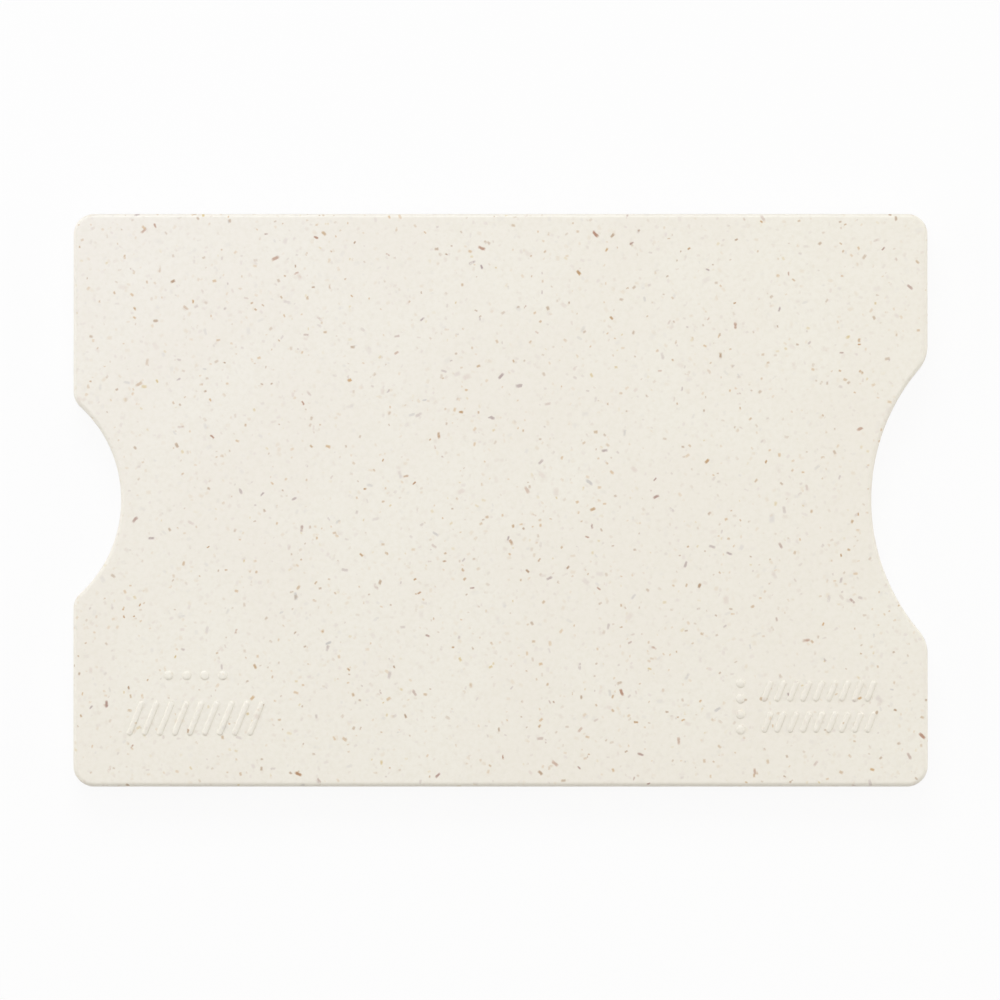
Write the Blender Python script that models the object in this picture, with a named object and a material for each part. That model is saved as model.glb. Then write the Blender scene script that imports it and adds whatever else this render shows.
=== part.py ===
"""Hard sleeve for one payment card: two welded shells with a shielding label inside each wall.

The holder lies on its back face. +X runs to the mouth, +Y across, +Z up through the front face.
The origin is the middle of the back face. All lengths are in metres.
"""
from math import atan2, cos, pi, radians, sin, sqrt

import bmesh
import bpy

# Card that the slot takes
CARD_LENGTH = 0.0856
CARD_WIDTH = 0.05398
CARD_THICKNESS = 0.00076
CARD_CORNER_RADIUS = 0.00318
EMBOSSED_HEIGHT = 0.00046

# Room round the card
SIDE_CLEARANCE = 0.0003
FACE_CLEARANCE = 0.00008
MOUTH_RECESS = 0.0012

# Shells
WALL_THICKNESS = 0.00135
RAIL_WIDTH = 0.00221
STOP_THICKNESS = 0.0012
STOP_SETBACK = 0.0004
CORNER_RADIUS = 0.0021
EDGE_FILLET = 0.00045
SEAM_GAP = 0.0001
SEAM_CHAMFER = 0.00008
LEAD_IN = 0.0004

# Thumb notch in the mouth end, and the smaller one through which the card is pushed out
MOUTH_NOTCH_DEPTH = 0.0058
MOUTH_NOTCH_RADIUS = 0.0209
MOUTH_SHOULDER_RADIUS = 0.0037
PUSH_NOTCH_DEPTH = 0.0049
PUSH_NOTCH_RADIUS = 0.0131
PUSH_SHOULDER_RADIUS = 0.0020

# Bumps on the rails that hold the card
BUMP_LENGTH = 0.0080
BUMP_HEIGHT = 0.00025
BUMP_TO_MOUTH = 0.0170

# Weld between the shells
TONGUE_WIDTH = 0.0007
TONGUE_HEIGHT = 0.00035
WELD_CLEARANCE = 0.0001
WELD_END_MARGIN = 0.0024

# Shielding label in the pocket of each wall
POCKET_MARGIN = 0.0008
LABEL_CLEARANCE = 0.00015
LAYER_GAP = 0.00005
ADHESIVE_SETBACK = 0.0003
ADHESIVE_THICKNESS = 0.00005
FOIL_THICKNESS = 0.00006
LINER_THICKNESS = 0.00005
LINER_STEP = 0.00003

# Raised grip marks on the front face
MARK_HEIGHT = 0.00016
MARK_DRAFT = 0.00014
MARK_ROOT = 0.0003
MARK_SLANT = radians(22)
RIB_WIDTH = 0.00062
PIP_RADIUS = 0.00048
LEFT_FIELD_TO_END = 0.0126
LEFT_FIELD_TO_SIDE = 0.0070
LEFT_RIB_LENGTH = 0.0038
LEFT_RIB_PITCH = 0.00155
LEFT_PIP_PITCH = 0.00185
LEFT_PIP_RISE = 0.0044
RIGHT_FIELD_TO_END = 0.0112
RIGHT_FIELD_TO_SIDE = 0.0082
RIGHT_RIB_LENGTH = 0.0023
RIGHT_RIB_PITCH = 0.00133
RIGHT_ROW_PITCH = 0.0032
RIGHT_PIP_PITCH = 0.0016
RIGHT_PIP_SETOFF = 0.0021

# How far a cutter runs past the face that it cuts
OVERRUN = 0.0010

# Smallest round that an inset outline keeps
INNER_ROUND = 0.0006

# Counts
CORNER_STEPS = 7
SHOULDER_STEPS = 5
NOTCH_STEPS = 18
FILLET_STEPS = 4
SLOT_CORNER_STEPS = 5
BUMP_STEPS = 6
MARK_END_STEPS = 4
PIP_HALF_STEPS = 5
LEFT_RIB_COUNT = 9
LEFT_PIP_COUNT = 4
RIGHT_RIB_COUNT = 9
RIGHT_ROW_COUNT = 2
RIGHT_PIP_COUNT = 4

# Sizes that follow
SLOT_WIDTH = CARD_WIDTH + 2 * SIDE_CLEARANCE
SLOT_HEIGHT = CARD_THICKNESS + EMBOSSED_HEIGHT + FACE_CLEARANCE
HOLDER_LENGTH = STOP_THICKNESS + CARD_LENGTH + MOUTH_RECESS
HOLDER_WIDTH = SLOT_WIDTH + 2 * RAIL_WIDTH
HOLDER_THICKNESS = SLOT_HEIGHT + 2 * WALL_THICKNESS
RIM_HEIGHT = (HOLDER_THICKNESS - SEAM_GAP) / 2
STOP_FACE_X = -HOLDER_LENGTH / 2 + STOP_THICKNESS
POCKET_INSET = RAIL_WIDTH + POCKET_MARGIN
LABEL_INSET = POCKET_INSET + LABEL_CLEARANCE
LABEL_THICKNESS = ADHESIVE_THICKNESS + FOIL_THICKNESS + LINER_THICKNESS
POCKET_DEPTH = LABEL_THICKNESS + 3 * LAYER_GAP + LINER_STEP
POCKET_FLOOR = WALL_THICKNESS - POCKET_DEPTH

# Edges turned further than this stay sharp in the shading
SHARP_ANGLE = radians(35)

STRAW_PLASTIC = (0.855, 0.823, 0.730, 1.0)
BARE_ALUMINIUM = (0.80, 0.81, 0.82, 1.0)
CLEAR_FILM = (0.82, 0.84, 0.84, 1.0)
MILKY_ADHESIVE = (0.78, 0.77, 0.70, 1.0)


def clear_scene():
    """Removes whatever the scene holds, so that the model starts empty."""
    for old in list(bpy.data.objects):
        bpy.data.objects.remove(old, do_unlink=True)


def make_material(name, color, roughness, metallic):
    """A Principled material of one colour."""
    material = bpy.data.materials.new(name)
    material.use_nodes = True
    shader = material.node_tree.nodes["Principled BSDF"]
    shader.inputs["Base Color"].default_value = color
    shader.inputs["Roughness"].default_value = roughness
    shader.inputs["Metallic"].default_value = metallic
    material.diffuse_color = color
    return material


def arc(center_x, center_y, radius, start, end, steps):
    """Points along a round stretch, from one angle to another."""
    turns = [start + (end - start) * step / steps for step in range(steps + 1)]
    return [(center_x + radius * cos(turn), center_y + radius * sin(turn)) for turn in turns]


def shoulder_half_chord(notch_depth, notch_radius, shoulder_radius):
    """Half the width over which a notch breaks the end's straight edge."""
    reach = notch_radius - notch_depth + shoulder_radius
    return sqrt((notch_radius + shoulder_radius) ** 2 - reach ** 2)


def end_outline(inset, notch_depth, notch_radius, shoulder_radius):
    """One short end at +X, from its lower corner to its upper one.

    A corner round, a straight edge, the shoulder round and the notch's arc, then the same mirrored.
    An inset moves all of it inwards by the same distance. The rounds keep their centres until
    they would get smaller than the least round.
    """
    end_x = HOLDER_LENGTH / 2 - inset
    side_y = HOLDER_WIDTH / 2 - inset
    corner = max(CORNER_RADIUS - inset, INNER_ROUND)
    shoulder = max(shoulder_radius - inset, INNER_ROUND)
    notch = notch_radius + inset
    notch_x = HOLDER_LENGTH / 2 - notch_depth + notch_radius
    shoulder_x = end_x - shoulder
    shoulder_y = sqrt((notch + shoulder) ** 2 - (notch_x - shoulder_x) ** 2)
    lean = atan2(shoulder_y, notch_x - shoulder_x)
    lower = arc(end_x - corner, corner - side_y, corner, -pi / 2, 0, CORNER_STEPS)
    lower += arc(shoulder_x, -shoulder_y, shoulder, 0, lean, SHOULDER_STEPS)
    middle = arc(notch_x, 0, notch, pi + lean, pi - lean, NOTCH_STEPS)
    upper = [(x, -y) for x, y in reversed(lower)]
    return lower + middle[1:-1] + upper


def holder_outline(inset=0):
    """The holder's outline seen from the front, anticlockwise, moved inwards by the inset."""
    mouth_end = end_outline(inset, MOUTH_NOTCH_DEPTH, MOUTH_NOTCH_RADIUS, MOUTH_SHOULDER_RADIUS)
    push_end = end_outline(inset, PUSH_NOTCH_DEPTH, PUSH_NOTCH_RADIUS, PUSH_SHOULDER_RADIUS)
    return mouth_end + [(-x, -y) for x, y in push_end]


def rail_bump(rail_y):
    """A low round bump on a rail's inner face near the mouth, from the push end to the mouth."""
    radius = (BUMP_LENGTH ** 2 / 4 + BUMP_HEIGHT ** 2) / (2 * BUMP_HEIGHT)
    half_turn = atan2(BUMP_LENGTH / 2, radius - BUMP_HEIGHT)
    bump_x = HOLDER_LENGTH / 2 - BUMP_TO_MOUTH
    center_y = rail_y + BUMP_HEIGHT - radius
    return arc(bump_x, center_y, radius, pi / 2 + half_turn, pi / 2 - half_turn, BUMP_STEPS)


def slot_outline():
    """The slot seen from the front: open at the mouth, stopped beside the push notch."""
    rail_y = -SLOT_WIDTH / 2
    corner = CARD_CORNER_RADIUS - SIDE_CLEARANCE
    mouth_x = HOLDER_LENGTH / 2 + OVERRUN
    push_x = -HOLDER_LENGTH / 2 - OVERRUN
    half_chord = shoulder_half_chord(PUSH_NOTCH_DEPTH, PUSH_NOTCH_RADIUS, PUSH_SHOULDER_RADIUS)
    stop_y = half_chord + STOP_SETBACK
    lower = [(push_x, -stop_y), (STOP_FACE_X, -stop_y)]
    lower += arc(STOP_FACE_X + corner, rail_y + corner, corner, pi, 1.5 * pi, SLOT_CORNER_STEPS)
    lower += rail_bump(rail_y)
    lower.append((mouth_x, rail_y))
    return lower + [(x, -y) for x, y in reversed(lower)]


def weld_outline(half_width, side_y):
    """A long strip with round ends in the middle of a rail."""
    end_x = HOLDER_LENGTH / 2 - WELD_END_MARGIN
    right = arc(end_x, side_y, half_width, -pi / 2, pi / 2, MARK_END_STEPS)
    left = arc(-end_x, side_y, half_width, pi / 2, 1.5 * pi, MARK_END_STEPS)
    return right + left


def add_loft(mesh, rings):
    """A closed solid through rings of as many points each: (outline, height), lowest first."""
    loops = []
    for outline, height in rings:
        loops.append([mesh.verts.new((x, y, height)) for x, y in outline])
    count = len(loops[0])
    mesh.faces.new(list(reversed(loops[0])))
    for lower, upper in zip(loops, loops[1:]):
        for here in range(count):
            after = (here + 1) % count
            mesh.faces.new((lower[here], lower[after], upper[after], upper[here]))
    mesh.faces.new(loops[-1])


def make_solid(name, solids, material=None):
    """An object of one or more closed lofts, with its faces pointing out."""
    mesh = bmesh.new()
    for rings in solids:
        add_loft(mesh, rings)
    bmesh.ops.recalc_face_normals(mesh, faces=mesh.faces)
    data = bpy.data.meshes.new(name)
    mesh.to_mesh(data)
    mesh.free()
    data.shade_smooth()
    data.set_sharp_from_angle(angle=SHARP_ANGLE)
    solid = bpy.data.objects.new(name, data)
    bpy.context.collection.objects.link(solid)
    if material:
        data.materials.append(material)
    return solid


def apply_tool(solid, tool, operation):
    """Adds or cuts a closed tool shape, which stays as a hidden guide on the same place."""
    tool.parent = solid
    tool.hide_render = True
    tool.display_type = "WIRE"
    modifier = solid.modifiers.new(tool.name, "BOOLEAN")
    modifier.operation = operation
    modifier.solver = "EXACT"
    modifier.object = tool


def prism(outline, low, high):
    """The rings of an upright solid."""
    return [(outline, low), (outline, high)]


def shell_rings():
    """Rings from the outer face, over the edge fillet, up the rim to its small seam chamfer."""
    rings = []
    for step in range(FILLET_STEPS + 1):
        turn = pi / 2 * step / FILLET_STEPS
        rings.append((holder_outline(EDGE_FILLET * (1 - sin(turn))), EDGE_FILLET * (1 - cos(turn))))
    rings.append((holder_outline(), RIM_HEIGHT - SEAM_CHAMFER))
    rings.append((holder_outline(SEAM_CHAMFER), RIM_HEIGHT))
    return rings


def lead_in_rings():
    """A wedge along the mouth's lip, seen as rings from the wall's inner face down to its edge."""
    end_x = HOLDER_LENGTH / 2
    side_y = CARD_WIDTH / 2
    lips = []
    for depth in (LEAD_IN + OVERRUN, -OVERRUN):
        near_x = end_x - LEAD_IN + depth
        far_x = end_x + 2 * OVERRUN + LEAD_IN
        lips.append(([(near_x, -side_y), (far_x, -side_y), (far_x, side_y), (near_x, side_y)],
                     WALL_THICKNESS - depth))
    return lips


def make_shell(name, material):
    """One moulded half, lying on its outer face: wall, rails, stops, slot, pocket and lead-in."""
    shell = make_solid(name, [shell_rings()], material)
    slot = prism(slot_outline(), WALL_THICKNESS, RIM_HEIGHT + OVERRUN)
    pocket = prism(holder_outline(POCKET_INSET), POCKET_FLOOR, WALL_THICKNESS + SLOT_HEIGHT / 4)
    for word, rings in (("slot", slot), ("pocket", pocket), ("lead_in", lead_in_rings())):
        apply_tool(shell, make_solid(name + "_" + word + "_tool", [rings]), "DIFFERENCE")
    return shell


def weld_solids(half_width, low, high):
    """The two strips along the rails, as tongues or as what cuts their grooves."""
    rail_y = (SLOT_WIDTH + RAIL_WIDTH) / 2
    return [prism(weld_outline(half_width, side * rail_y), low, high) for side in (-1, 1)]


def mark_rings(center_x, center_y, half_length, half_width, slant, steps):
    """One raised mark with round ends and sloped sides, standing out below the outer face."""
    rings = []
    for grown, height in ((0, -MARK_HEIGHT), (MARK_DRAFT, 0), (MARK_DRAFT, MARK_ROOT)):
        radius = half_width - MARK_DRAFT + grown
        top = arc(0, half_length - half_width, radius, 0, pi, steps)
        base = arc(0, half_width - half_length, radius, pi, 2 * pi, steps)
        points = top + base if half_length > half_width else top[:-1] + base[:-1]
        turned = [(center_x + x * cos(slant) - y * sin(slant),
                   center_y + x * sin(slant) + y * cos(slant)) for x, y in points]
        rings.append((turned, height))
    return rings


def centered(count, pitch):
    """Places of a row of copies about zero."""
    return [pitch * (index - (count - 1) / 2) for index in range(count)]


def rib_row(center_x, center_y, count, pitch, length):
    """A row of slanted ribs, seen from the outer side."""
    return [mark_rings(center_x + place, center_y, length / 2, RIB_WIDTH / 2, -MARK_SLANT,
                       MARK_END_STEPS) for place in centered(count, pitch)]


def pip(center_x, center_y):
    """One round pip."""
    return mark_rings(center_x, center_y, PIP_RADIUS, PIP_RADIUS, 0, PIP_HALF_STEPS)


def left_marks():
    """A row of slanted grip ribs with a shorter row of pips above it."""
    field_x = LEFT_FIELD_TO_END - HOLDER_LENGTH / 2
    field_y = LEFT_FIELD_TO_SIDE - HOLDER_WIDTH / 2
    marks = rib_row(field_x, field_y, LEFT_RIB_COUNT, LEFT_RIB_PITCH, LEFT_RIB_LENGTH)
    for place in centered(LEFT_PIP_COUNT, LEFT_PIP_PITCH):
        marks.append(pip(field_x + place, field_y + LEFT_PIP_RISE))
    return marks


def right_marks():
    """Two rows of short slanted ribs beside an upright column of pips."""
    field_x = HOLDER_LENGTH / 2 - RIGHT_FIELD_TO_END
    field_y = RIGHT_FIELD_TO_SIDE - HOLDER_WIDTH / 2
    marks = []
    for rise in centered(RIGHT_ROW_COUNT, RIGHT_ROW_PITCH):
        marks += rib_row(field_x, field_y + rise, RIGHT_RIB_COUNT, RIGHT_RIB_PITCH, RIGHT_RIB_LENGTH)
    column_x = field_x - RIGHT_RIB_COUNT * RIGHT_RIB_PITCH / 2 - RIGHT_PIP_SETOFF
    for place in centered(RIGHT_PIP_COUNT, RIGHT_PIP_PITCH):
        marks.append(pip(column_x, field_y + place))
    return marks


def flipped(rings):
    """The same rings seen from the other side, for a shell that is turned over about X."""
    return [([(x, -y) for x, y in outline], height) for outline, height in rings]


def make_back_shell(material):
    """The back half, with a weld groove along each rail."""
    shell = make_shell("back_shell", material)
    depth = TONGUE_HEIGHT + WELD_CLEARANCE
    grooves = weld_solids(TONGUE_WIDTH / 2 + WELD_CLEARANCE, RIM_HEIGHT - depth,
                          RIM_HEIGHT + OVERRUN)
    apply_tool(shell, make_solid("groove_tool", grooves), "DIFFERENCE")


def make_front_shell(material):
    """The front half, turned over above the back one, with the tongues and the grip marks."""
    shell = make_shell("front_shell", material)
    tongues = weld_solids(TONGUE_WIDTH / 2, RIM_HEIGHT - SLOT_HEIGHT / 2,
                          RIM_HEIGHT + SEAM_GAP + TONGUE_HEIGHT)
    marks = [flipped(rings) for rings in left_marks() + right_marks()]
    apply_tool(shell, make_solid("tongue_tool", tongues), "UNION")
    apply_tool(shell, make_solid("mark_tool", marks), "UNION")
    turn_over(shell)


def turn_over(piece):
    """Turns a piece that was made for the back half over about X, on to the front half."""
    piece.location.z = HOLDER_THICKNESS
    piece.rotation_euler.x = pi


def make_layer(name, inset, thickness, floor, material):
    """One thin sheet of a label, lying on its floor in the back shell or turned over in the front."""
    layer = make_solid(name, [prism(holder_outline(inset), 0, thickness)], material)
    layer.location.z = floor
    if name.startswith("front"):
        turn_over(layer)
        layer.location.z = HOLDER_THICKNESS - floor


def make_label(side):
    """The three layers of a shielding label in its pocket: adhesive, foil and wear film."""
    adhesive_floor = POCKET_FLOOR + LAYER_GAP
    foil_floor = adhesive_floor + ADHESIVE_THICKNESS + LAYER_GAP
    liner_floor = foil_floor + FOIL_THICKNESS + LAYER_GAP
    adhesive = make_material(side + "_adhesive_film", MILKY_ADHESIVE, 0.5, 0.0)
    foil = make_material(side + "_foil", BARE_ALUMINIUM, 0.32, 1.0)
    liner = make_material(side + "_liner_film", CLEAR_FILM, 0.18, 0.0)
    make_layer(side + "_adhesive_film", LABEL_INSET + ADHESIVE_SETBACK, ADHESIVE_THICKNESS,
               adhesive_floor, adhesive)
    make_layer(side + "_foil", LABEL_INSET, FOIL_THICKNESS, foil_floor, foil)
    make_layer(side + "_liner_film", LABEL_INSET, LINER_THICKNESS, liner_floor, liner)


def build():
    """Makes every piece of the holder."""
    clear_scene()
    make_back_shell(make_material("back_straw_plastic", STRAW_PLASTIC, 0.42, 0.0))
    make_front_shell(make_material("front_straw_plastic", STRAW_PLASTIC, 0.42, 0.0))
    for side in ("back", "front"):
        make_label(side)


build()
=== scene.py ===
from collections import namedtuple

import bpy
import numpy as np
from mathutils import Matrix, Vector


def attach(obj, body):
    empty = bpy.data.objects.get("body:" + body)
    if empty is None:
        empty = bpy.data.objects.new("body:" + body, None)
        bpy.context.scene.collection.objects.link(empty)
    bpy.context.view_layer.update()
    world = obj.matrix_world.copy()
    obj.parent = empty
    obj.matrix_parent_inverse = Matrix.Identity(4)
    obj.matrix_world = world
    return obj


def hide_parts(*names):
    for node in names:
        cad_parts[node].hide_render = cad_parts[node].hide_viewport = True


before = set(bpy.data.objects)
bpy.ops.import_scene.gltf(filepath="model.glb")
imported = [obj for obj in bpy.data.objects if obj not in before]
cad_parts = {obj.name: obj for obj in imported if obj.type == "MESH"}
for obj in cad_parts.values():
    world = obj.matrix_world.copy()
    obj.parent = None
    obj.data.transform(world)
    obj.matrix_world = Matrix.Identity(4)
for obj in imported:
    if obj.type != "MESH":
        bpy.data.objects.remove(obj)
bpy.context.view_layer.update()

ROOT_BODY = "root"
MM = 0.001

# Sizes in metres, as in the part's source
CARD_LENGTH = 0.0856
CARD_WIDTH = 0.05398
CARD_THICKNESS = 0.00076
CARD_CORNER_RADIUS = 0.00318
EMBOSSED_HEIGHT = 0.00046
SIDE_CLEARANCE = 0.0003
FACE_CLEARANCE = 0.00008
MOUTH_RECESS = 0.0012
WALL_THICKNESS = 0.00135
RAIL_WIDTH = 0.00221
STOP_THICKNESS = 0.0012
STOP_SETBACK = 0.0004
CORNER_RADIUS = 0.0021
EDGE_FILLET = 0.00045
MOUTH_NOTCH = (0.0058, 0.0209, 0.0037)  # depth, radius, shoulder radius
PUSH_NOTCH = (0.0049, 0.0131, 0.0020)
BUMP_LENGTH = 0.0080
BUMP_HEIGHT = 0.00025
BUMP_TO_MOUTH = 0.0170
TONGUE_WIDTH = 0.0007
TONGUE_TIP = 0.00240
GROOVE_FLOOR = 0.0015
WELD_CLEARANCE = 0.0001
WELD_END_MARGIN = 0.0024
POCKET_INSET = 0.00301
POCKET_FLOOR = 0.00101
MARK_HEIGHT = 0.00016
MARK_ROOT = 0.0003
MARK_SLANT = np.radians(22)
RIB_WIDTH = 0.00062
PIP_RADIUS = 0.00048
LEFT_FIELD = (-0.0314, -0.0225)
LEFT_RIB_LENGTH = 0.0038
LEFT_RIB_PITCH = 0.00155
LEFT_PIP_PITCH = 0.00185
LEFT_PIP_RISE = 0.0044
RIGHT_FIELD = (0.0328, -0.0213)
RIGHT_RIB_LENGTH = 0.0023
RIGHT_RIB_PITCH = 0.00133
RIGHT_ROW_PITCH = 0.0032
RIGHT_ROWS = 2
RIGHT_PIP_PITCH = 0.0016
RIGHT_PIP_SETOFF = 0.0021
RIB_COUNT = 9
PIP_COUNT = 4
OVERRUN = 0.0010
INNER_ROUND = 0.0006

SLOT_WIDTH = CARD_WIDTH + 2 * SIDE_CLEARANCE
SLOT_HEIGHT = CARD_THICKNESS + EMBOSSED_HEIGHT + FACE_CLEARANCE
HOLDER_LENGTH = STOP_THICKNESS + CARD_LENGTH + MOUTH_RECESS
HOLDER_WIDTH = SLOT_WIDTH + 2 * RAIL_WIDTH
HOLDER_THICKNESS = SLOT_HEIGHT + 2 * WALL_THICKNESS

# Rounds that a moulded and welded holder has
PARTING_GAP = 0.00002
PARTING_ROUND = 0.00009
MOUTH_LIP_ROUND = 0.0004
PUSH_LIP_ROUND = 0.00022
SLOT_CORNER_ROUND = 0.00022
FLAT_BORDER = 0.00006
MARK_TOP_TURN = np.radians(80)
RIM_HEIGHT = (HOLDER_THICKNESS - PARTING_GAP) / 2
SHARP_ANGLE = np.radians(32)

# Steps in each round
SHOULDER_STEPS = 12
NOTCH_STEPS = 64
CORNER_STEPS = 16
BUMP_STEPS = 20
SLOT_ROUND_STEPS = 6
CARD_CORNER_STEPS = 14
WELD_STEPS = 10
FILLET_STEPS = 10
PARTING_STEPS = 5
LIP_STEPS = 6
DOME_STEPS = 7
RIB_STEPS = 10
PIP_STEPS = 14
QUARTER_TURN = np.pi / 2


def arc(center, radius, start, end, steps):
    """Points on a circle: the centre plus the radius times (cos, sin) of evenly spaced turns."""
    turn = np.linspace(start, end, steps + 1)
    return np.stack([center[0] + radius * np.cos(turn), center[1] + radius * np.sin(turn)], axis=1)


def mirrored(points):
    """The same points on the other side of the X axis, in reverse order."""
    return points[::-1] * (1, -1)


def notch_half_chord(notch):
    """Half the width over which a notch breaks the end: a leg of its two centres' triangle."""
    depth, radius, shoulder = notch
    return np.sqrt((radius + shoulder) ** 2 - (radius - depth + shoulder) ** 2)


def end_path(inset, notch):
    """The end at +X from its lower shoulder to its upper one.

    Two circles touch where their centres' distance is the sum of their radii. The shoulder round
    turns up to that point and the notch's arc runs on from it. An inset shrinks the round and
    grows the notch.
    """
    depth, radius, shoulder_radius = notch
    shoulder = max(shoulder_radius - inset, INNER_ROUND)
    radius_in = radius + inset
    notch_x = HOLDER_LENGTH / 2 - depth + radius
    shoulder_x = HOLDER_LENGTH / 2 - inset - shoulder
    shoulder_y = np.sqrt((radius_in + shoulder) ** 2 - (notch_x - shoulder_x) ** 2)
    lean = np.arctan2(shoulder_y, notch_x - shoulder_x)
    lower = arc((shoulder_x, -shoulder_y), shoulder, 0, lean, SHOULDER_STEPS)
    middle = arc((notch_x, 0), radius_in, np.pi + lean, np.pi - lean, NOTCH_STEPS)
    return np.concatenate([lower, middle[1:-1], mirrored(lower)])


def end_outline(inset, notch):
    """The end path with the corner round below it and the mirrored one above it."""
    corner = max(CORNER_RADIUS - inset, INNER_ROUND)
    center = (HOLDER_LENGTH / 2 - inset - corner, inset + corner - HOLDER_WIDTH / 2)
    lower = arc(center, corner, -QUARTER_TURN, 0, CORNER_STEPS)
    return np.concatenate([lower, end_path(inset, notch), mirrored(lower)])


def holder_outline(inset):
    """The holder's outline, anticlockwise: the mouth end, then the push end turned half a turn."""
    return np.concatenate([end_outline(inset, MOUTH_NOTCH), -end_outline(inset, PUSH_NOTCH)])


def rail_bump(rail_y):
    """A low bump on a rail: the arc whose chord is the bump's length and rise is its height."""
    radius = (BUMP_LENGTH ** 2 / 4 + BUMP_HEIGHT ** 2) / (2 * BUMP_HEIGHT)
    half = np.arctan2(BUMP_LENGTH / 2, radius - BUMP_HEIGHT)
    center = (HOLDER_LENGTH / 2 - BUMP_TO_MOUTH, rail_y + BUMP_HEIGHT - radius)
    return arc(center, radius, QUARTER_TURN + half, QUARTER_TURN - half, BUMP_STEPS)


def slot_outline():
    """The slot from the front: open at the mouth, stopped on both sides of the push notch.

    Its corners at the end faces are quarter rounds, and so are the stops' inner edges.
    """
    rail_y = -SLOT_WIDTH / 2
    stop_y = notch_half_chord(PUSH_NOTCH) + STOP_SETBACK
    stop_x = STOP_THICKNESS - HOLDER_LENGTH / 2
    small = SLOT_CORNER_ROUND
    corner = CARD_CORNER_RADIUS - SIDE_CLEARANCE
    outer_center = (small - HOLDER_LENGTH / 2, -stop_y - small)
    inner_center = (stop_x - small, -stop_y - small)
    pocket_center = (stop_x + corner, rail_y + corner)
    mouth_center = (HOLDER_LENGTH / 2 - small, rail_y - small)
    outer = arc(outer_center, small, np.pi, QUARTER_TURN, SLOT_ROUND_STEPS)
    inner = arc(inner_center, small, QUARTER_TURN, 0, SLOT_ROUND_STEPS)
    pocket = arc(pocket_center, corner, np.pi, 3 * QUARTER_TURN, CARD_CORNER_STEPS)
    mouth = arc(mouth_center, small, QUARTER_TURN, 0, SLOT_ROUND_STEPS)
    start = np.array([[-HOLDER_LENGTH / 2 - OVERRUN, -stop_y - small]])
    end = np.array([[HOLDER_LENGTH / 2 + OVERRUN, rail_y - small]])
    lower = np.concatenate([start, outer, inner, pocket, rail_bump(rail_y), mouth, end])
    return np.concatenate([lower, mirrored(lower)])


def weld_outline(half_width, side_y):
    """A long strip with half-round ends along the middle of a rail."""
    end_x = HOLDER_LENGTH / 2 - WELD_END_MARGIN
    right = arc((end_x, side_y), half_width, -QUARTER_TURN, QUARTER_TURN, WELD_STEPS)
    left = arc((-end_x, side_y), half_width, QUARTER_TURN, 3 * QUARTER_TURN, WELD_STEPS)
    return np.concatenate([right, left])


def lip_outline(inset, side, notch, half_width):
    """What lies outside an end within the half width: the end path there and back, further out."""
    path = end_path(inset, notch)
    end_x = path[0, 0]
    inner = np.concatenate([[[end_x, -half_width]], path, [[end_x, half_width]]])
    outer = inner[::-1] * (0, 1) + (HOLDER_LENGTH / 2 + 2 * OVERRUN, 0)
    return np.concatenate([inner[::-1], outer[::-1]]) * (side, side)


def rings(outlines, heights):
    """One array of rings, count by points by 3: each outline lifted to its height."""
    flat = np.stack(outlines)
    lift = np.broadcast_to(np.array(heights)[:, None, None], flat.shape[:2] + (1,))
    return np.concatenate([flat, lift], axis=2)


def prism(outline, low, high):
    """The rings of an upright solid."""
    return rings([outline, outline], [low, high])


def shell_rings():
    """The rings of the shell's outside, lowest first.

    Edge fillet: inset F (1 - sin t), height F (1 - cos t). Rim up to the parting line, where a
    small round goes in by r (1 - cos t) and up by r sin t. A narrow flat ring borders each face.
    """
    turn = np.linspace(0, QUARTER_TURN, FILLET_STEPS + 1)
    fillet_in = EDGE_FILLET * (1 - np.sin(turn))
    fillet_up = EDGE_FILLET * (1 - np.cos(turn))
    turn = np.linspace(0, QUARTER_TURN, PARTING_STEPS + 1)
    part_in = PARTING_ROUND * (1 - np.cos(turn))
    part_up = RIM_HEIGHT - PARTING_ROUND + PARTING_ROUND * np.sin(turn)
    face_in = [EDGE_FILLET + FLAT_BORDER]
    rim_in = [PARTING_ROUND + FLAT_BORDER]
    insets = np.concatenate([face_in, fillet_in, part_in, rim_in])
    heights = np.concatenate([[0.0], fillet_up, part_up, [RIM_HEIGHT]])
    return rings([holder_outline(inset) for inset in insets], heights)


def lip_rings(side, notch, half_width, radius):
    """A cutter that rounds a wall's inner edge at an end: inset r (1 - cos t), height r sin t."""
    turn = np.linspace(0, QUARTER_TURN, LIP_STEPS + 1)
    insets = np.concatenate([[-radius / 4], radius * (1 - np.cos(turn)), [radius]])
    rises = np.concatenate([[-radius / 2], radius * np.sin(turn), [2 * radius]])
    outlines = [lip_outline(inset, side, notch, half_width) for inset in insets]
    return rings(outlines, WALL_THICKNESS - radius + rises)


def mark_rings(center, half_length, half_width, slant, steps):
    """A raised mark below the outer face, with a domed top.

    Its section is a quarter of an ellipse: ring radius R cos t, height -H sin t, t from the top
    down. One more ring roots it in the wall.
    """
    turn = np.linspace(MARK_TOP_TURN, 0, DOME_STEPS + 1)
    radius = half_width * np.append(np.cos(turn), 1)
    height = np.append(-MARK_HEIGHT * np.sin(turn) / np.sin(MARK_TOP_TURN), MARK_ROOT)
    reach = half_length - half_width
    turned = np.array([[np.cos(slant), np.sin(slant)], [-np.sin(slant), np.cos(slant)]])
    outlines = []
    for ring in radius:
        top = arc((0, reach), ring, 0, np.pi, steps)
        base = arc((0, -reach), ring, np.pi, 2 * np.pi, steps)
        if reach == 0:
            top, base = top[:-1], base[:-1]
        outlines.append(np.concatenate([top, base]) @ turned + center)
    return rings(outlines, height)


def centered(count, pitch):
    """Places of a row of copies about zero."""
    return pitch * (np.arange(count) - (count - 1) / 2)


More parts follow.
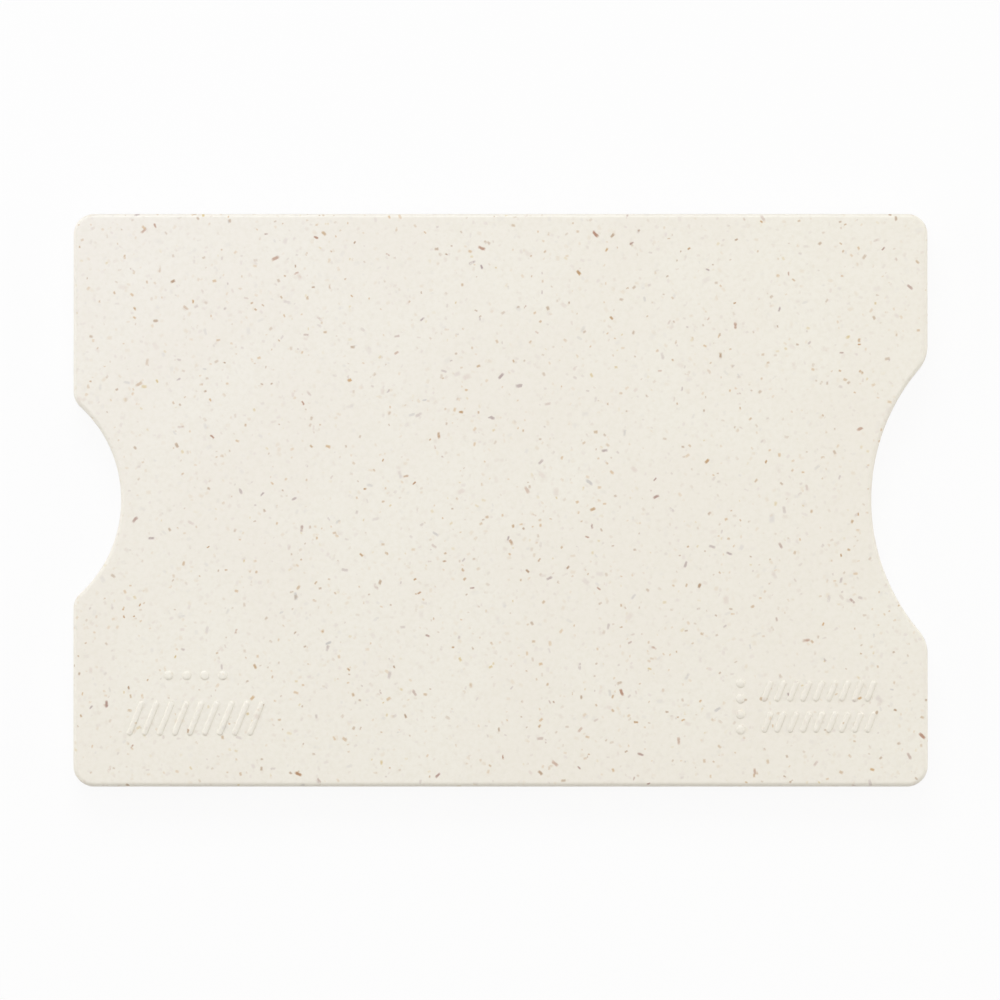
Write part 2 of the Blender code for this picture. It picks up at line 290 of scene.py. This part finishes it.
def rib_row(center, count, pitch, length):
    """A row of slanted ribs."""
    return [mark_rings((center[0] + place, center[1]), length / 2, RIB_WIDTH / 2, -MARK_SLANT,
                       RIB_STEPS)
            for place in centered(count, pitch)]


def pips(places):
    """Round pips at the given places."""
    return [mark_rings(place, PIP_RADIUS, PIP_RADIUS, 0, PIP_STEPS) for place in places]


def grip_marks():
    """All raised marks of the front face, seen from outside."""
    left_x, left_y = LEFT_FIELD
    right_x, right_y = RIGHT_FIELD
    marks = rib_row(LEFT_FIELD, RIB_COUNT, LEFT_RIB_PITCH, LEFT_RIB_LENGTH)
    marks += pips([(left_x + place, left_y + LEFT_PIP_RISE)
                   for place in centered(PIP_COUNT, LEFT_PIP_PITCH)])
    for rise in centered(RIGHT_ROWS, RIGHT_ROW_PITCH):
        marks += rib_row((right_x, right_y + rise), RIB_COUNT, RIGHT_RIB_PITCH, RIGHT_RIB_LENGTH)
    column_x = right_x - RIB_COUNT * RIGHT_RIB_PITCH / 2 - RIGHT_PIP_SETOFF
    marks += pips([(column_x, right_y + place) for place in centered(PIP_COUNT, RIGHT_PIP_PITCH)])
    return [mark * (1, -1, 1) for mark in marks]


def solid(name, lofts):
    """An object of closed lofts: quads between rings, one flat face on each end.

    A ring is anticlockwise where the sum of x y' - y x' over its points is above zero.
    """
    points, corners, sizes, base = [], [], [], 0
    for loft in lofts:
        ring_count, count = loft.shape[:2]
        index = base + np.arange(ring_count * count).reshape(ring_count, count)
        after = np.roll(index, -1, axis=1)
        quads = np.stack([index[:-1], after[:-1], after[1:], index[1:]], axis=-1).reshape(-1, 4)
        first, last = index[0][::-1], index[-1]
        x, y = loft[0, :, 0], loft[0, :, 1]
        if np.sum(x * np.roll(y, -1) - y * np.roll(x, -1)) <= 0:
            first, last, quads = first[::-1], last[::-1], quads[:, ::-1]
        corners.extend([first, last, quads.ravel()])
        sizes.extend([[count], [count], np.full(len(quads), quads.shape[1])])
        points.append(loft.reshape(-1, 3))
        base += ring_count * count
    corners, sizes = np.concatenate(corners), np.concatenate(sizes)
    mesh = bpy.data.meshes.new(name)
    mesh.vertices.add(base)
    mesh.vertices.foreach_set("co", np.concatenate(points).ravel())
    mesh.loops.add(len(corners))
    mesh.loops.foreach_set("vertex_index", corners.astype(np.int32))
    mesh.polygons.add(len(sizes))
    mesh.polygons.foreach_set("loop_start", (np.cumsum(sizes) - sizes).astype(np.int32))
    mesh.update(calc_edges=True)
    mesh.validate()
    made = bpy.data.objects.new(name, mesh)
    bpy.context.scene.collection.objects.link(made)
    return made


def carve(blank, steps):
    """The blank with each tool added or cut in turn, as one finished mesh. The tools go."""
    tools = []
    for word, operation, lofts in steps:
        tool = solid(blank.name + "_" + word, lofts)
        modifier = blank.modifiers.new(word, "BOOLEAN")
        modifier.operation, modifier.solver, modifier.object = operation, "EXACT", tool
        tools.append(tool)
    view = bpy.context.evaluated_depsgraph_get()
    finished = bpy.data.meshes.new_from_object(blank.evaluated_get(view))
    blank.modifiers.clear()
    blank.data = finished
    for tool in tools:
        bpy.data.objects.remove(tool, do_unlink=True)
    return blank


def moulded_half(name, extra):
    """One shell lying on its outer face: wall, rails and stops left round slot and pocket."""
    slot_half = CARD_WIDTH / 2
    notch_half = notch_half_chord(PUSH_NOTCH) + STOP_SETBACK
    slot = prism(slot_outline(), WALL_THICKNESS, RIM_HEIGHT + OVERRUN)
    pocket_top = WALL_THICKNESS + SLOT_HEIGHT / 4
    pocket = prism(holder_outline(POCKET_INSET), POCKET_FLOOR, pocket_top)
    steps = [
        ("slot", "DIFFERENCE", [slot]),
        ("pocket", "DIFFERENCE", [pocket]),
        ("mouth_lip", "DIFFERENCE", [lip_rings(1, MOUTH_NOTCH, slot_half, MOUTH_LIP_ROUND)]),
        ("push_lip", "DIFFERENCE", [lip_rings(-1, PUSH_NOTCH, notch_half, PUSH_LIP_ROUND)]),
    ]
    return carve(solid(name, [shell_rings()]), steps + extra)


def weld_strips(half_width, low, high):
    """The two strips along the rails."""
    rail_y = (SLOT_WIDTH + RAIL_WIDTH) / 2
    return [prism(weld_outline(half_width, side * rail_y), low, high) for side in (-1, 1)]


def finish_shell(shell, node, turned):
    """Turns the front half over on to the back one, sets its shading and its place in the table."""
    points = np.empty(len(shell.data.vertices) * 3)
    shell.data.vertices.foreach_get("co", points)
    points = points.reshape(-1, 3)
    if turned:
        points = points * (1, -1, -1) + (0, 0, HOLDER_THICKNESS)
    shell.data.vertices.foreach_set("co", points.ravel())
    shell.data.update()
    shell.data.shade_smooth()
    shell.data.set_sharp_from_angle(angle=SHARP_ANGLE)
    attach(shell, ROOT_BODY)
    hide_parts(node)


class Value:
    """A shader value. A sum, product or the like of values and numbers adds one Math node."""

    def __init__(self, finish, socket):
        self.finish = finish
        self.socket = socket

    def math(self, operation, first, second):
        """One Math node on two values."""
        sockets = {0: first, 1: second}
        return self.finish.node("ShaderNodeMath", {"operation": operation}, sockets, 0)

    def __add__(self, other):
        return self.math("ADD", self, other)

    def __radd__(self, other):
        return self.math("ADD", other, self)

    def __sub__(self, other):
        return self.math("SUBTRACT", self, other)

    def __rsub__(self, other):
        return self.math("SUBTRACT", other, self)

    def __mul__(self, other):
        return self.math("MULTIPLY", self, other)

    def __rmul__(self, other):
        return self.math("MULTIPLY", other, self)

    def __truediv__(self, other):
        return self.math("DIVIDE", self, other)

    def __pow__(self, other):
        return self.math("POWER", self, other)

    def __lt__(self, other):
        return self.math("LESS_THAN", self, other)


class Finish:
    """A material or world whose nodes are added by one method."""

    def __init__(self, name, world=False):
        self.block = bpy.data.worlds.new(name) if world else bpy.data.materials.new(name)
        self.block.use_nodes = True
        self.block.node_tree.nodes.clear()

    def node(self, kind, settings, sockets, *outputs):
        """A node with its settings made first, then its sockets; gives the outputs asked for."""
        made = self.block.node_tree.nodes.new(kind)
        for key, setting in settings.items():
            if key == "stops":
                stops = made.color_ramp.elements
                stops.remove(stops[-1])
                stops[0].position, stops[0].color = setting[0]
                for place, color in setting[1:]:
                    stops.new(place).color = color
            elif key == "interpolation":
                made.color_ramp.interpolation = setting
            else:
                setattr(made, key, setting)
        for key, given in sockets.items():
            if isinstance(given, Value):
                self.block.node_tree.links.new(given.socket, made.inputs[key])
            else:
                made.inputs[key].default_value = given
        values = [Value(self, made.outputs[key]) for key in outputs]
        return values[0] if len(values) == 1 else values

    def vector(self, operation, first, second):
        """One Vector Math node."""
        sockets = {0: first, 1: second}
        return self.node("ShaderNodeVectorMath", {"operation": operation}, sockets, 0)

    def stretched(self, point, amounts):
        """A point with each coordinate times its own amount."""
        return self.vector("MULTIPLY", point, amounts)

    def mix(self, share, first, second):
        """A colour between two."""
        sockets = {0: share, 6: first, 7: second}
        return self.node("ShaderNodeMix", {"data_type": "RGBA"}, sockets, 2)

    def step(self, value, low, high, start=0.0, end=1.0):
        """A smooth step from start to end while the value goes from low to high."""
        sockets = {0: value, 1: low, 2: high, 3: start, 4: end}
        return self.node("ShaderNodeMapRange", {"interpolation_type": "SMOOTHSTEP"}, sockets, 0)

    def noise(self, point, scale, detail=2.0, output=0):
        """Smooth noise of the given scale on a point in millimetres."""
        sockets = {"Vector": point, "Scale": scale, "Detail": detail}
        return self.node("ShaderNodeTexNoise", {}, sockets, output)

    def millimetres(self, offset=(0, 0, 0)):
        """The object's own coordinates in millimetres, moved by an offset."""
        place = self.node("ShaderNodeTexCoord", {}, {}, "Object")
        sockets = {"Vector": place, "Location": offset, "Scale": (1 / MM,) * 3}
        return self.node("ShaderNodeMapping", {}, sockets, 0)

    def bump(self, height):
        """The normal that a height in millimetres gives."""
        return self.node("ShaderNodeBump", {}, {"Height": height, "Distance": MM}, 0)

    def skin(self, sockets):
        """The Principled shader with its sockets, joined to the output."""
        shader = self.node("ShaderNodeBsdfPrincipled", {}, sockets, 0)
        self.node("ShaderNodeOutputMaterial", {}, {"Surface": shader})
        return self.block


def shown(red, green, blue):
    """A colour as a screen shows it, 0 to 255, as shares of 1."""
    return red / 255, green / 255, blue / 255, 1.0


SCREEN_GAMMA = 2.2
PLASTIC_IOR = 1.5
PLASTIC_LIGHT = shown(239, 235, 224)
PLASTIC_WARM = shown(238, 233, 222)
PLASTIC_MOTTLE = shown(234, 229, 216)
MOTTLE_SHARE = 0.7

# Fine ground straw: where each colour starts in a bit's number, and the colour
FINE_COLORS = [
    (0.0, shown(167, 123, 75)),
    (0.24, shown(156, 121, 90)),
    (0.40, shown(191, 149, 98)),
    (0.54, shown(201, 173, 108)),
    (0.61, shown(164, 142, 136)),
]

# Long bits: plum brown, brown, plum grey, grey and blue grey
LONG_COLORS = [
    (0.0, shown(164, 119, 96)),
    (0.22, shown(164, 120, 83)),
    (0.29, shown(161, 128, 117)),
    (0.48, shown(161, 140, 138)),
    (0.63, shown(153, 148, 150)),
]

# Straw just below the surface: pale tan, grey brown, lilac grey and blue grey
HAZE_COLORS = [
    (0.0, shown(212, 192, 164)),
    (0.26, shown(207, 191, 178)),
    (0.44, shown(206, 190, 185)),
    (0.60, shown(197, 192, 190)),
]

# Wide smudges deeper down: grey brown, lilac grey and blue grey
SMUDGE_COLORS = [
    (0.0, shown(208, 189, 178)),
    (0.28, shown(204, 189, 183)),
    (0.50, shown(197, 191, 189)),
]

# A sort of straw bits: size and offset of its cells, length and width, all in millimetres,
# softness of the outline, share of cells that are filled, least and most strength, colours
Straw = namedtuple("Straw", "cell offset length width soft present least most colors")
BURIED_SORTS = [
    Straw(1.75, (2.6, 5.9, 7.7), 0.60, 0.37, 0.60, 0.70, 0.06, 0.38, SMUDGE_COLORS),
    Straw(0.59, (7.3, 2.1, 4.4), 0.36, 0.25, 0.75, 0.66, 0.05, 0.31, HAZE_COLORS),
]
SURFACE_SORTS = [
    Straw(0.76, (1.7, 9.2, 3.3), 0.27, 0.19, 0.60, 0.94, 0.03, 0.58, FINE_COLORS),
    Straw(1.00, (4.1, 6.6, 8.8), 0.37, 0.205, 0.48, 0.60, 0.04, 0.80, FINE_COLORS),
    Straw(1.24, (8.9, 3.7, 5.2), 0.55, 0.23, 0.42, 0.46, 0.10, 0.90, LONG_COLORS),
]

# How far the noise bends a bit, its size, its strength from the lower digits of its turn, and
# what its own number counts in its colour
STRAW_WAVER = (0.16, 0.16, 0.16)
SIZE_LEAST = 0.70
SIZE_RANGE = 0.65
STRENGTH_DIGITS = 16
STRENGTH_POWER = 2.2
KIND_WEIGHT = 0.55

# Heights of the shell's surface in millimetres
GRAIN_HEIGHT = 0.0012
WAVE_HEIGHT = 0.006
STRAW_DEPTH = 0.003
STRAW_ROUGHNESS = 0.12


def straw_layer(finish, point, straw):
    """Bits of straw, one in each Voronoi cell: a blunt sliver turned and sized at random.

    With u, v and w the way from the cell's middle along and across, over half the bit's length
    and width, its mask is 1 where the fourth root of u^4 + v^4 + w^4 is under the bit's size.
    A cell's colour is also the place of its middle, so White Noise shuffles it before use.
    Gives the mask, a number for the bit's colour and one for its strength.
    """
    moved = finish.vector("ADD", point, straw.offset)
    cells = {"Vector": moved, "Scale": 1 / straw.cell, "Randomness": 1.0}
    shade, middle = finish.node("ShaderNodeTexVoronoi", {"feature": "F1"}, cells,
                                "Color", "Position")
    numbers = finish.node("ShaderNodeTexWhiteNoise", {"noise_dimensions": "3D"},
                          {"Vector": shade}, "Color")
    chance, turn, size = finish.node("ShaderNodeSeparateColor", {}, {0: numbers}, 0, 1, 2)
    away = finish.vector("SUBTRACT", moved, middle)
    laid = finish.node("ShaderNodeVectorRotate", {"rotation_type": "Z_AXIS"},
                       {"Vector": away, "Angle": turn * (2 * np.pi)}, 0)
    shape = finish.stretched(laid, (2 / straw.length, 2 / straw.width, 2 / straw.width))
    squares = finish.stretched(shape, shape)
    reach = finish.node("ShaderNodeVectorMath", {"operation": "LENGTH"}, {0: squares}, "Value")
    spread = size * size * SIZE_RANGE + SIZE_LEAST
    mask = finish.step(reach ** 0.5 / spread, low=1 - straw.soft, high=1 + straw.soft,
                       start=1.0, end=0.0)
    strength = finish.node("ShaderNodeMath", {"operation": "FRACT"}, {0: turn * STRENGTH_DIGITS}, 0)
    return mask * (chance < straw.present), chance / straw.present, strength


def straw_plastic(name, offset):
    """Satin warm off-white plastic filled with ground straw.

    A bit's colour goes by a number of its own and by how weak it is: weak bits are greyer. The
    colours are mixed as a screen shows them and raised to the screen's gamma at the end.
    """
    finish = Finish(name)
    even = finish.millimetres(offset)
    ripple = finish.noise(even, scale=3.5, detail=2.0, output="Color")
    ripple = finish.vector("SUBTRACT", ripple, (0.5, 0.5, 0.5))
    point = finish.vector("ADD", even, finish.stretched(ripple, STRAW_WAVER))
    cloud = finish.noise(even, scale=0.09, detail=3.0)
    tone = finish.mix(finish.step(cloud, low=0.35, high=0.65), PLASTIC_LIGHT, PLASTIC_WARM)
    mottle = finish.noise(even, scale=2.6, detail=4.0)
    mottled = finish.step(mottle, low=0.35, high=0.75) * MOTTLE_SHARE
    tone = finish.mix(mottled, tone, PLASTIC_MOTTLE)
    relief = 0
    for straw in BURIED_SORTS + SURFACE_SORTS:
        mask, kind, strength = straw_layer(finish, point, straw)
        number = kind * KIND_WEIGHT + (1 - strength) * (1 - KIND_WEIGHT)
        color = finish.node("ShaderNodeValToRGB",
                            {"interpolation": "CONSTANT", "stops": straw.colors},
                            {"Fac": number}, 0)
        amount = strength ** STRENGTH_POWER * (straw.most - straw.least) + straw.least
        share = mask * amount
        tone = finish.mix(share, tone, color)
        if straw in SURFACE_SORTS:
            relief = share + relief
    color = finish.node("ShaderNodeGamma", {}, {"Color": tone, "Gamma": SCREEN_GAMMA}, 0)
    grain = finish.noise(even, scale=6.0, detail=3.0)
    wave = finish.noise(even, scale=0.35, detail=1.0)
    rough = finish.step(grain, low=0.3, high=0.7, start=0.36, end=0.44) + relief * STRAW_ROUGHNESS
    height = grain * GRAIN_HEIGHT + wave * WAVE_HEIGHT - relief * STRAW_DEPTH
    return finish.skin({"Base Color": color, "Roughness": rough, "Normal": finish.bump(height),
                        "IOR": PLASTIC_IOR, "Sheen Weight": 0.2, "Sheen Roughness": 0.4})


FOIL_DARK = (0.76, 0.77, 0.78, 1)
FOIL_LIGHT = (0.86, 0.865, 0.87, 1)
LINE_STRETCH = (0.05, 9.0, 1.0)
LINE_HEIGHT = 0.002
CRINKLE_HEIGHT = 0.03


def foil(name):
    """Rolled aluminium: fine lines along X in colour, gloss and height."""
    finish = Finish(name)
    point = finish.millimetres()
    line = finish.noise(finish.stretched(point, LINE_STRETCH), scale=1.0, detail=3.0)
    crinkle = finish.noise(point, scale=0.25, detail=3.0)
    tone = finish.mix(line, FOIL_DARK, FOIL_LIGHT)
    rough = finish.step(line, low=0.3, high=0.7, start=0.24, end=0.36)
    bump = finish.bump(line * LINE_HEIGHT + crinkle * CRINKLE_HEIGHT)
    return finish.skin({"Base Color": tone, "Roughness": rough, "Metallic": 1.0, "Normal": bump})


FILM_DARK = (0.86, 0.88, 0.88, 1)
FILM_LIGHT = (0.91, 0.92, 0.92, 1)
RUB_STRETCH = (0.08, 5.0, 1.0)
FILM_ROUGHNESS = 0.12
RUB_ROUGHNESS = 0.25
FILM_ALPHA = 0.18
RUB_ALPHA = 0.2


def clear_film(name):
    """Clear wear film with faint rub marks along the way that the card slides."""
    finish = Finish(name)
    point = finish.millimetres()
    streak = finish.noise(finish.stretched(point, RUB_STRETCH), scale=1.0, detail=4.0)
    rub = finish.step(streak, low=0.55, high=0.75)
    tone = finish.mix(finish.noise(point, scale=0.3), FILM_DARK, FILM_LIGHT)
    return finish.skin({"Base Color": tone, "Roughness": rub * RUB_ROUGHNESS + FILM_ROUGHNESS,
                        "Alpha": rub * RUB_ALPHA + FILM_ALPHA, "IOR": PLASTIC_IOR})


ADHESIVE_DARK = (0.76, 0.75, 0.68, 1)
ADHESIVE_LIGHT = (0.80, 0.79, 0.72, 1)
ADHESIVE_ALPHA = 0.9
ADHESIVE_ROUGHNESS = 0.4
CLOUD_ROUGHNESS = 0.2
BUBBLE_TONE = (0.88, 0.87, 0.82, 1)
BUBBLE_SHARE = 0.5


def milky_adhesive(name):
    """Milky adhesive with small bubbles."""
    finish = Finish(name)
    point = finish.millimetres()
    away = finish.node("ShaderNodeTexVoronoi", {"feature": "F1"},
                       {"Vector": point, "Scale": 0.9}, "Distance")
    bubble = finish.step(away, low=0.05, high=0.16, start=1.0, end=0.0)
    cloud = finish.noise(point, scale=0.5)
    tone = finish.mix(cloud, ADHESIVE_DARK, ADHESIVE_LIGHT)
    tone = finish.mix(bubble * BUBBLE_SHARE, tone, BUBBLE_TONE)
    rough = cloud * CLOUD_ROUGHNESS + ADHESIVE_ROUGHNESS
    return finish.skin({"Base Color": tone, "Roughness": rough, "Alpha": ADHESIVE_ALPHA})


WHITE = (1, 1, 1, 1)
FLOOR_GREY = (0.84, 0.84, 0.84, 1)
FLOOR_WHITENESS = 0.91
FLOOR_HALF = 3.0
FLOOR_TOP = -0.00002
FLOOR_THICKNESS = 0.01
ROOM_LIGHT = (1.0, 0.965, 0.915, 1)
ROOM_STRENGTH = 0.408


def seen_directly(finish):
    """1 for rays that show the background: from the camera, off gloss or through clear stuff."""
    camera, glossy, clear = finish.node("ShaderNodeLightPath", {}, {}, "Is Camera Ray",
                                        "Is Glossy Ray", "Is Transmission Ray")
    return finish.node("ShaderNodeMath", {"operation": "ADD", "use_clamp": True},
                       {0: camera + glossy, 1: clear}, 0)


def white_floor(name):
    """Pale floor that shows white, with a share left for the shadow on it."""
    finish = Finish(name)
    pale = finish.node("ShaderNodeBsdfDiffuse", {}, {"Color": FLOOR_GREY}, 0)
    white = finish.node("ShaderNodeEmission", {}, {"Color": WHITE, "Strength": 1.0}, 0)
    share = seen_directly(finish) * FLOOR_WHITENESS
    both = finish.node("ShaderNodeMixShader", {}, {0: share, 1: pale, 2: white}, 0)
    finish.node("ShaderNodeOutputMaterial", {}, {"Surface": both})
    return finish.block


def studio_world():
    """Soft light from all round; white where it is seen directly."""
    finish = Finish("studio", world=True)
    room = {"Color": ROOM_LIGHT, "Strength": ROOM_STRENGTH}
    soft = finish.node("ShaderNodeBackground", {}, room, 0)
    white = finish.node("ShaderNodeBackground", {}, {"Color": WHITE, "Strength": 1.0}, 0)
    both = finish.node("ShaderNodeMixShader", {}, {0: seen_directly(finish), 1: soft, 2: white}, 0)
    finish.node("ShaderNodeOutputWorld", {}, {"Surface": both})
    bpy.context.scene.world = finish.block


def place_in_scene(thing, place, toward=(0, 0, 0)):
    """Puts a lamp or camera at its place, looking at a point, with +Y or +Z towards its top."""
    back = (Vector(place) - Vector(toward)).normalized()
    up = Vector((0, 1, 0)) if abs(back.z) > 0.99 else Vector((0, 0, 1))
    right = up.cross(back).normalized()
    thing.matrix_world = Matrix((right, back.cross(right), back)).transposed().to_4x4()
    thing.location = place
    bpy.context.scene.collection.objects.link(thing)


def softbox(name, place, width, height, power, color, in_gloss):
    """A rectangular soft lamp. One that isn't in the gloss leaves no glare on flat faces."""
    light = bpy.data.lights.new(name, "AREA")
    light.shape, light.size, light.size_y = "RECTANGLE", width, height
    light.energy, light.color = power, color
    lamp = bpy.data.objects.new(name, light)
    lamp.visible_camera = False
    lamp.visible_glossy = in_gloss
    place_in_scene(lamp, place)


def floor_plane():
    """A wide slab whose top lies just under the holder."""
    outline = FLOOR_HALF * np.array([[1, -1], [1, 1], [-1, 1], [-1, -1]])
    plane = solid("floor", [prism(outline, FLOOR_TOP - FLOOR_THICKNESS, FLOOR_TOP)])
    plane.data.materials.append(white_floor("white_floor"))


# Pieces
grooves = weld_strips(TONGUE_WIDTH / 2 + WELD_CLEARANCE, GROOVE_FLOOR, RIM_HEIGHT + OVERRUN)
tongues = weld_strips(TONGUE_WIDTH / 2, RIM_HEIGHT - SLOT_HEIGHT / 2, TONGUE_TIP)
back = moulded_half("back_moulding", [("grooves", "DIFFERENCE", grooves)])
front = moulded_half("front_moulding", [("tongues", "UNION", tongues),
                                        ("marks", "UNION", grip_marks())])
finish_shell(back, "back_shell", turned=False)
finish_shell(front, "front_shell", turned=True)
back.data.materials.append(straw_plastic("straw_plastic_back", (31.0, 17.0, 5.0)))
front.data.materials.append(straw_plastic("straw_plastic_front", (0.0, 0.0, 0.0)))

LAYERS = [("foil", foil), ("liner_film", clear_film), ("adhesive_film", milky_adhesive)]
for side in ("front", "back"):
    for word, make in LAYERS:
        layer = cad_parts[side + "_" + word]
        layer.data.materials.clear()
        layer.data.materials.append(make(side + "_" + word + "_finish"))

# Stage
LAMP_COLOR = (1.0, 0.995, 0.985)
KEY_COLOR = (0.925, 0.965, 1.0)
CORNER_COLOR = (0.30, 0.35, 1.0)
SOFTBOXES = [  # name, place, width, height, power, colour, whether it is in the gloss
    ("key_softbox", (-0.15, 0.75, 0.66), 0.63, 0.45, 4.22, KEY_COLOR, True),
    ("top_softbox", (0.0, 0.05, 0.80), 0.60, 0.60, 1.14, LAMP_COLOR, True),
    ("left_softbox", (-0.50, 0.0, 0.18), 0.40, 0.30, 0.77, LAMP_COLOR, False),
    ("right_softbox", (0.50, 0.0, 0.18), 0.40, 0.30, 0.82, LAMP_COLOR, False),
    ("corner_softbox", (-0.050, 0.042, 0.060), 0.03, 0.03, 0.0023, CORNER_COLOR, True),
]
floor_plane()
studio_world()
for lamp in SOFTBOXES:
    softbox(*lamp)

LENS = 800
SENSOR = 36
VIEW_WIDTH = 0.10304
VIEW_CENTER = Vector((-0.00006, 0, 0.0035))
LOWERED = np.radians(1.5)
view = bpy.data.cameras.new("camera")
view.lens, view.sensor_width = LENS, SENSOR
view.clip_start, view.clip_end = 0.01, 20
camera = bpy.data.objects.new("camera", view)
distance = VIEW_WIDTH / SENSOR * LENS
way = Vector((0, -np.sin(LOWERED), np.cos(LOWERED)))
place_in_scene(camera, VIEW_CENTER + way * distance, VIEW_CENTER)
bpy.context.scene.camera = camera
bpy.context.scene.view_settings.view_transform = "Standard"
